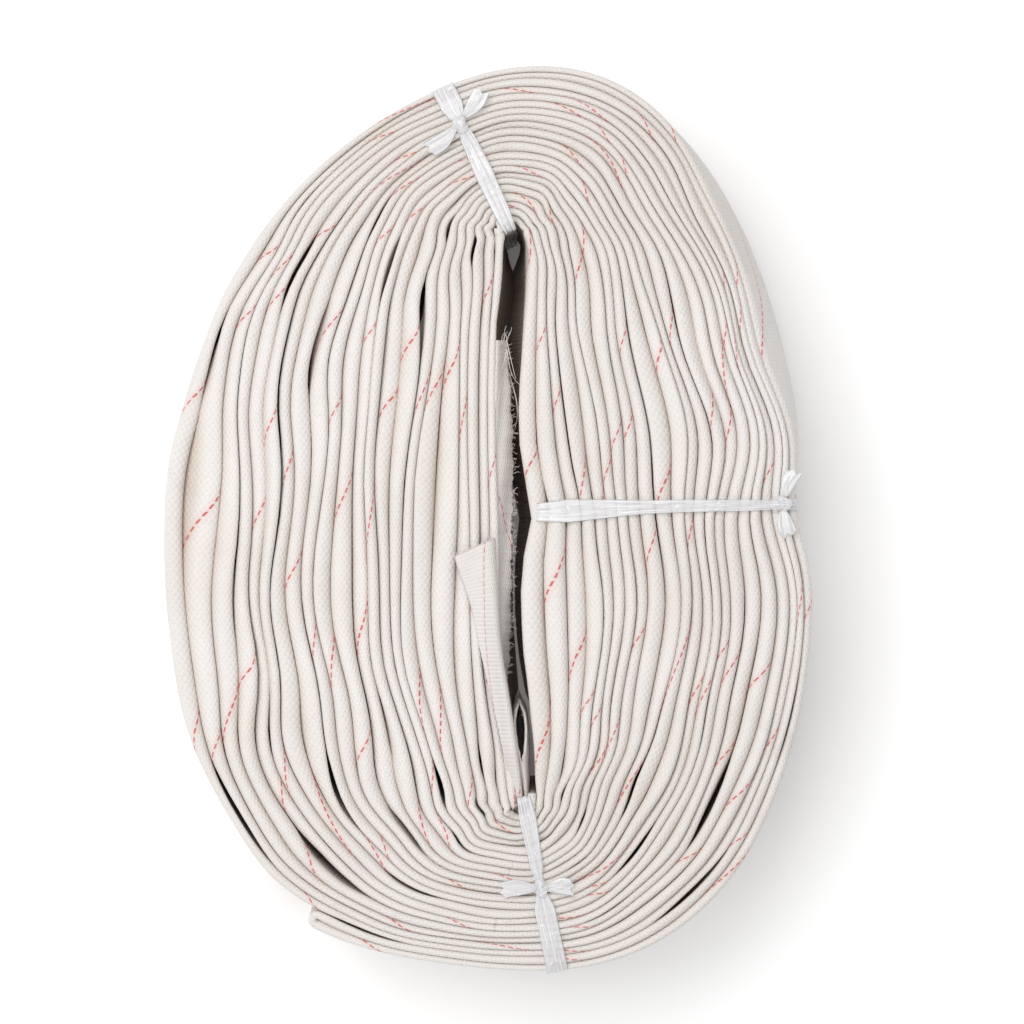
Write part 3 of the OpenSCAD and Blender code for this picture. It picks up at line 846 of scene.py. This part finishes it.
# %% [markdown]
# ## Running the ties round the laps
# Each loop's outline is read off the hose itself: of all the hose points near the tie's plane, the farthest
# in every direction. The strip is then carried round that outline, wide where it lies flat over the laps
# and narrow at the slot and the knot, with ridges along it where it is drawn together.

# %% Ties
HOSE_POINTS = hose_rings.reshape(-1, 3)
FILM_THICK = 0.16
TIE_REACH, TIE_PAST, FILM_CLEAR, TIE_STEP = 4.0, 12, 0.4, 1.6
RIBBON_POINTS, RIBBON_GIRTH, LEAST_FLAT = 15, 12.0, 0.010


def tie_loop(start, end):
    """The taut outline of the laps in the tie's plane, as evenly spaced [distance out, height] points."""
    start, end = np.array(start), np.array(end)
    out = (end - start) / np.linalg.norm(end - start)
    rel = HOSE_POINTS[:, :2] - start
    far, across = rel @ out, rel @ np.array([-out[1], out[0]])
    near = (np.abs(across) < TIE_REACH) & (far > -1.5) & (far < np.linalg.norm(end - start) + TIE_PAST)
    flat = np.stack([np.maximum(far[near], 0.0), HOSE_POINTS[near, 2]], -1)
    turn = np.radians(np.arange(0, 360, 1.5))
    facing = np.stack([np.cos(turn), np.sin(turn)], -1)
    hull = flat[np.argmax(flat @ facing.T, axis=0)] + facing * FILM_CLEAR
    hull = np.concatenate([hull, hull[:1]])
    run = np.r_[0, np.cumsum(np.linalg.norm(np.diff(hull, axis=0), axis=1))]
    even = np.linspace(0, run[-1], int(run[-1] / TIE_STEP))
    loop = np.stack([np.interp(even, run, hull[:, i]) for i in range(2)], -1)
    loop[:, 1] = np.maximum(loop[:, 1], 0.12)
    return loop, out, start


def ribbon(name, start, end, knot_at, widths, nodes):
    """A tie: a film strip carried round its taut loop, with wrinkles along it. widths are at the slot, midway
    over the top, at the knot and at the rim."""
    loop, out, start = tie_loop(start, end)
    reach = loop[:, 0].max()
    far, z = loop[:, 0], loop[:, 1]
    share = far / reach
    on_top = z > z.max() - 14
    at_slot, midway, at_knot, at_rim = widths
    wide = np.interp(share, [0, 0.12, 0.4, knot_at - 0.1, knot_at, knot_at + 0.12, 1],
                     [at_slot, at_slot * 1.3, midway, midway * 0.8, at_knot, at_rim, at_rim])
    wide = np.where(on_top, wide, np.interp(share, [0, 0.3, 1], [at_slot, at_rim, at_rim]))
    q = np.linspace(-1, 1, RIBBON_POINTS)[None, :]
    s = np.arange(len(loop))[:, None] * TIE_STEP
    tight = np.clip(1.5 - wide / 8, 0.15, 1)[:, None]
    wrinkle = tight * (0.35 * np.sin(q * 9 + np.sin(s * 0.05) * 3) + 0.25 * np.sin(q * 17 + s * 0.09)
                       + 0.2 * np.sin(q * 5 + s * 0.31))
    facing = np.gradient(loop, axis=0)
    facing = np.stack([facing[:, 1], -facing[:, 0]], -1) / np.linalg.norm(facing, axis=1, keepdims=True)
    centre = loop[:, None] + facing[:, None] * np.maximum(0, wrinkle + 0.3 * tight)[..., None]
    wander = 0.5 * np.sin(s * 0.045 + len(name))
    sideways = q * wide[:, None] / 2 + wander * on_top[:, None]
    across = np.array([-out[1], out[0]])
    plan_points = start + out * centre[..., :1] + across * sideways[..., None]
    mid = np.concatenate([plan_points, centre[..., 1:]], -1)
    push = np.stack([facing[:, 0] * out[0], facing[:, 0] * out[1], facing[:, 1]], -1)
    push = push[:, None] * FILM_THICK / 2
    rings = np.concatenate([(mid + push)[:, :-1], (mid - push)[:, :0:-1]], axis=1)
    rings[..., 2] = np.maximum(rings[..., 2], 0.02)
    piece = soft_piece(name, [(rings, run_of(rings), girth_of(RIBBON_POINTS, RIBBON_GIRTH))], film, "roll")
    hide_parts(*nodes)
    print(name, "film, mm:", round(run_of(rings)[-1]), "by", round(wide.mean(), 1))
    order = np.argsort(far[on_top])
    top_at = np.interp(knot_at * reach, far[on_top][order], z[on_top][order])
    knot = start + out * knot_at * reach
    return np.array([*knot, top_at]), out


top_knot, top_out = ribbon("top_tie_film", (9.6, 135.4), (-23.4, 203.4), 0.72, (6.0, 9.0, 4.0, 11.0),
                           ["top_tie"])
side_knot, side_out = ribbon("side_tie_film", (21.5, 4), (149, 8), 0.9, (8.5, 6.5, 4.0, 8.5), ["side_tie"])
low_knot, low_out = ribbon("low_tie_film", (15.1, -129.8), (32.4, -213.2), 0.5, (6.5, 6.0, 3.6, 10.0),
                           ["low_tie"])

# %% [markdown]
# ## Knots and loose ends
# Each film is tied once on top of the laps, which draws it into a small creased lump, and its two ends are
# left short. An end is narrow where it leaves the knot and spreads to its cut tip. Knots and ends are
# separate pieces, so an end can lift at its knot.

# %% Knots and loose ends
KNOT_RINGS, KNOT_SIDES, TAIL_RINGS, TAIL_POINTS = 30, 28, 30, 13
KNOT_SINK, TAIL_CLEAR = 0.6, 1.3


def knot_lump(name, centre, out, size, node):
    """A small drawn-together knot: an ellipsoid with creases running round it."""
    u = np.linspace(0.02, math.pi - 0.02, KNOT_RINGS)[:, None]
    v = (np.arange(KNOT_SIDES) / KNOT_SIDES * 2 * math.pi)[None, :]
    crease = 1 + 0.16 * np.sin(v * 3 + u * 5) + 0.10 * np.sin(v * 7 - u * 9) + 0.08 * np.sin(v * 2 + u * 13)
    shape = np.stack([np.cos(u) + 0 * v, np.sin(u) * np.cos(v) * crease, np.sin(u) * np.sin(v) * crease], -1)
    shape = shape * np.array(size) / 2
    across = np.array([-out[1], out[0], 0])
    points = centre + shape[..., :1] * np.array([*out, 0]) + shape[..., 1:2] * across
    points = points + shape[..., 2:] * np.array([0, 0, 1])
    points[..., 2] += size[2] / 2 - KNOT_SINK
    run, girth = np.linspace(0, 14, KNOT_RINGS), np.linspace(0, 12, KNOT_SIDES + 1)
    piece = soft_piece(name, [(points, run, girth)], film, "roll")
    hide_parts(node)


def loose_tail(name, knot, out, start, turn, size, lift, node, body):
    """A loose end of film: narrow at the knot, spreading and wrinkled at its tip, rising by lift."""
    heading = math.atan2(out[1], out[0]) + math.radians(turn)
    ahead = np.array([math.cos(heading), math.sin(heading)])
    side = np.array([-math.sin(heading), math.cos(heading)])
    t = np.linspace(0, 1, TAIL_RINGS)[:, None]
    q = np.linspace(-1, 1, TAIL_POINTS)[None, :]
    wide = size[1] * (0.35 + 0.65 * np.sin(np.clip(t * 1.5, 0, 1) * math.pi / 2)) / 2
    fold = 0.9 * t * np.sin(q * 4.5 + t * 3 + start) + 0.35 * np.sin(q * 11 + t * 5)
    far = start * 0.8 + size[0] * t + 0.9 * np.sin(q * 6) * t ** 4
    drift = 1.6 * np.sin(t * 2.4) * np.sign(turn)
    z = knot[2] + TAIL_CLEAR + lift * np.sin(t * 2.2) + np.maximum(0, fold) + 0 * q
    plan_points = knot[:2] + ahead * far[..., None] + side * (q * wide + drift)[..., None]
    mid = np.concatenate([plan_points, z[..., None]], -1)
    up = mid + np.array([0, 0, FILM_THICK / 2])
    down = mid - np.array([0, 0, FILM_THICK / 2])
    rings = np.concatenate([up[:, :-1], down[:, :0:-1]], axis=1)
    piece = soft_piece(name, [(rings, run_of(rings), girth_of(TAIL_POINTS, size[1]))], film, body)
    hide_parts(node)


knot_lump("top_knot_film", top_knot, top_out, (9, 6.5, 4.2), "top_knot")
knot_lump("side_knot_film", side_knot, side_out, (11, 6.5, 4.2), "side_knot")
knot_lump("low_knot_film", low_knot, low_out, (9, 6, 4), "low_knot")
loose_tail("top_short_film", top_knot, top_out, 5.4, -55, (14, 8), 2.0, "top_tail_short", "top_short_end")
loose_tail("top_long_film", top_knot, top_out, 3.2, 100, (16, 8), 0.5, "top_tail_long", "top_long_end")
loose_tail("side_short_film", side_knot, side_out, 5.4, 60, (12, 7), 0.8, "side_tail_short", "side_short_end")
loose_tail("side_long_film", side_knot, side_out, 3.5, -70, (12, 8), 1.2, "side_tail_long", "side_long_end")
loose_tail("low_short_film", low_knot, low_out, 3.0, 75, (12, 8), 0.6, "low_tail_short", "low_short_end")
loose_tail("low_long_film", low_knot, low_out, 3.0, -95, (16, 8), 0.8, "low_tail_long", "low_long_end")

# %% [markdown]
# ## Camera, light and floor
# The roll is seen straight down its winding axis, from a little over a metre and a half. The light is a
# wide soft panel overhead, a weaker one from the side, and a pale room.

# %% Camera and light
TOP_Z = FLAT_W * MM
VIEW_CENTRE = (0.0101, 0.0038)
VIEW_WIDTH, VIEW_DISTANCE = 0.4775, 1.6

camera_data = bpy.data.cameras.new("camera")
camera_data.sensor_width = 36
camera_data.lens = 36 * VIEW_DISTANCE / VIEW_WIDTH
camera = bpy.data.objects.new("camera", camera_data)
camera.location = (*VIEW_CENTRE, TOP_Z + VIEW_DISTANCE)
bpy.context.scene.collection.objects.link(camera)
bpy.context.scene.camera = camera


def soft_light(name, where, size, power, tilt):
    """A square area light."""
    data = bpy.data.lights.new(name, "AREA")
    data.size, data.energy = size, power
    light = bpy.data.objects.new(name, data)
    light.location, light.rotation_euler = where, tilt
    bpy.context.scene.collection.objects.link(light)
    return light


soft_light("panel", (-0.45, 0.5, 1.85), 1.1, 21, (math.radians(-13), math.radians(-10), 0))
soft_light("fill", (-0.9, -0.9, 1.3), 1.2, 5, (math.radians(35), math.radians(-35), 0))
world = bpy.data.worlds.new("pale_room")
world.use_nodes = True
world.node_tree.nodes["Background"].inputs[0].default_value = (1, 1, 1, 1)
world.node_tree.nodes["Background"].inputs[1].default_value = 0.58
bpy.context.scene.world = world
bpy.context.scene.view_settings.view_transform = "Standard"

floor_material, tree = new_material("pale_floor")
paint = add(tree, "ShaderNodeBsdfPrincipled", {}, {
    "Base Color": (0.96, 0.96, 0.96, 1), "Roughness": 0.9, "Emission Color": (1, 1, 1, 1),
    "Emission Strength": 0.07})
add(tree, "ShaderNodeOutputMaterial", {}, {0: paint.outputs[0]})
floor_mesh = bpy.data.meshes.new("floor")
FLOOR_HALF, FLOOR_Z = 3, -0.0004
corners = [(-FLOOR_HALF, -FLOOR_HALF), (FLOOR_HALF, -FLOOR_HALF), (FLOOR_HALF, FLOOR_HALF),
           (-FLOOR_HALF, FLOOR_HALF)]
floor_mesh.from_pydata([(x, y, FLOOR_Z) for x, y in corners], [], [(0, 1, 2, 3)])
floor_mesh.materials.append(floor_material)
floor = bpy.data.objects.new("floor", floor_mesh)
bpy.context.scene.collection.objects.link(floor)
